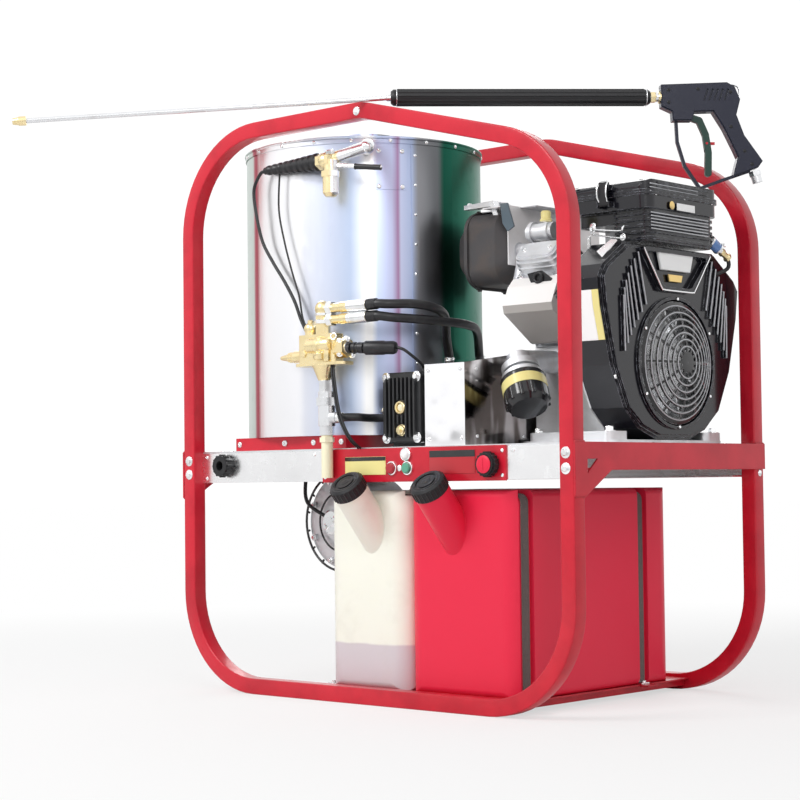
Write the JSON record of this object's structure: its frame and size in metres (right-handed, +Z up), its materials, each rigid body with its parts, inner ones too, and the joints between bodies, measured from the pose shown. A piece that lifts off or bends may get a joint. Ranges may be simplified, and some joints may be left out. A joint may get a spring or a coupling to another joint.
{
  "type": "hot water pressure washer skid",
  "caption": "Hot-water pressure washer: upright boiler, belt-driven pump and V-twin engine over two tanks in a bent square-tube cage, with a lift-off spray wand.",
  "frame": {"origin": "floor level, centre of the four skid bolt holes", "axes": "+X along the wide front to the engine end, +Y to the rear, +Z up"},
  "size_m": [1.0898, 1.1088, 1.1998],
  "materials": {
    "frame_paint": "gloss",
    "stainless_sheet": "polished",
    "boiler_sheet": "polished",
    "cast_alloy": "cast",
    "steel_parts": "machined",
    "cast_steel": "satin",
    "black_plastic": "satin",
    "black_gloss": "gloss",
    "brass": "satin",
    "cream_tube": "satin",
    "hose_rubber": "matte",
    "belt_rubber": "matte",
    "beige_sheet": "satin",
    "muffler_steel": "matte",
    "burner_alloy": "cast",
    "white_poly": "satin",
    "red_poly": "satin",
    "webbing": "woven",
    "filter_paper": "matte",
    "red_button": "gloss",
    "green_button": "gloss",
    "trigger_plastic": "satin",
    "red_latch": "satin"
  },
  "bodies": {
    "skid": {"front_hoop": "frame_paint", "rear_hoop": "frame_paint", "front_rail": "stainless_sheet", "rear_rail": "stainless_sheet", "left_side_rail": "frame_paint", "right_side_rail": "frame_paint", "tank_tray": "frame_paint", "deck_plate": "cast_alloy", "control_panel": "frame_paint", "boiler_base": "frame_paint", "boiler_jacket": "boiler_sheet", "boiler_lid": "boiler_sheet", "heating_coil": "cast_alloy", "burner": "burner_alloy", "coil_outlet": "brass", "wiring_harness": "hose_rubber", "unloader_valve": "brass", "water_strainer": "steel_parts", "outlet_tube": "cream_tube", "pressure_hoses": "hose_rubber", "hose_coupler": "black_plastic", "pump_crankcase": "cast_steel", "pump_cover": "cast_steel", "pump_head": "brass", "drive_belt": "belt_rubber", "belt_guard": "stainless_sheet", "engine_block": "cast_alloy", "front_cylinder": "cast_alloy", "rear_cylinder": "cast_alloy", "cylinder_cowl": "beige_sheet", "engine_shroud": "black_plastic", "air_cleaner_base": "black_plastic", "air_cleaner_cover": "black_plastic", "filter_element": "filter_paper", "muffler": "muffler_steel", "exhaust_pipes": "steel_parts", "oil_filter": "black_gloss", "carburettor": "cast_alloy", "white_tank": "white_poly", "red_tank": "red_poly", "tank_straps": "webbing"},
    "engine_rotor": {"crankshaft": "steel_parts", "engine_pulley": "steel_parts", "flywheel": "steel_parts", "fan_screen": "black_plastic"},
    "pump_rotor": {"pump_pulley": "steel_parts"},
    "pressure_adjuster": {"unloader_knob": "brass"},
    "thermostat_knob": {"burner_knob": "black_plastic"},
    "stop_switch": {"stop_button": "red_button"},
    "start_switch": {"start_button": "green_button"},
    "white_cap": {"white_tank_cap": "black_plastic"},
    "red_cap": {"red_tank_cap": "black_plastic"},
    "filter_latch": {"cleaner_latch": "black_plastic"},
    "spray_wand": {"lance_pipe": "steel_parts", "lance_sleeve": "hose_rubber", "spray_nozzle": "brass", "gun_body": "black_plastic", "gun_inlet": "steel_parts"},
    "gun_trigger": {"trigger": "trigger_plastic"},
    "gun_safety": {"safety_latch": "red_latch"}
  },
  "joints": [
    {"name": "crank_spin", "type": "hinge", "parent": "skid", "child": "engine_rotor", "pos_m": [0.3, 0.074, 0.648], "axis": [1, 0, 0], "continuous": true},
    {"name": "pump_spin", "type": "hinge", "parent": "skid", "child": "pump_rotor", "pos_m": [0.1, -0.155, 0.571], "axis": [1, 0, 0], "continuous": true},
    {"name": "pressure_adjust", "type": "hinge", "parent": "skid", "child": "pressure_adjuster", "pos_m": [-0.18, -0.302, 0.678], "axis": [-1, 0, 0], "range_deg": [0, 360]},
    {"name": "thermostat_turn", "type": "hinge", "parent": "skid", "child": "thermostat_knob", "pos_m": [0.309, -0.3, 0.457], "axis": [0, 1, 0], "range_deg": [0, 300]},
    {"name": "stop_press", "type": "slide", "parent": "skid", "child": "stop_switch", "axis": [0, 1, 0], "range_m": [0, 0.003], "stiffness_N_per_m": 600, "springref_m": -0.002},
    {"name": "start_press", "type": "slide", "parent": "skid", "child": "start_switch", "axis": [0, 1, 0], "range_m": [0, 0.003], "stiffness_N_per_m": 600, "springref_m": -0.002},
    {"name": "white_cap_off", "type": "slide", "parent": "skid", "child": "white_cap", "axis": [0, -0.6428, 0.766], "range_m": [0, 0.04]},
    {"name": "red_cap_off", "type": "slide", "parent": "skid", "child": "red_cap", "axis": [0, -0.6428, 0.766], "range_m": [0, 0.04]},
    {"name": "latch_open", "type": "hinge", "parent": "skid", "child": "filter_latch", "pos_m": [0.405, -0.058, 0.947], "axis": [1, 0, 0], "range_deg": [0, 110]},
    {"name": "wand_lift", "type": "slide", "parent": "skid", "child": "spray_wand", "axis": [0, 0, 1], "range_m": [0, 0.15]},
    {"name": "trigger_pull", "type": "hinge", "parent": "spray_wand", "child": "gun_trigger", "pos_m": [0.45328, 0.13595, 1.13715], "axis": [0.7193, -0.6947, 0], "range_deg": [0, 12], "stiffness_Nm_per_rad": 4, "springref_deg": -5.73},
    {"name": "safety_flip", "type": "hinge", "parent": "gun_trigger", "child": "gun_safety", "pos_m": [0.48634, 0.17018, 1.08072], "axis": [-0.7193, 0.6947, 0], "range_deg": [0, 75]}
  ],
  "couplings": [
    {"joint": "pump_spin", "follows": "crank_spin", "ratio": 0.4872}
  ]
}
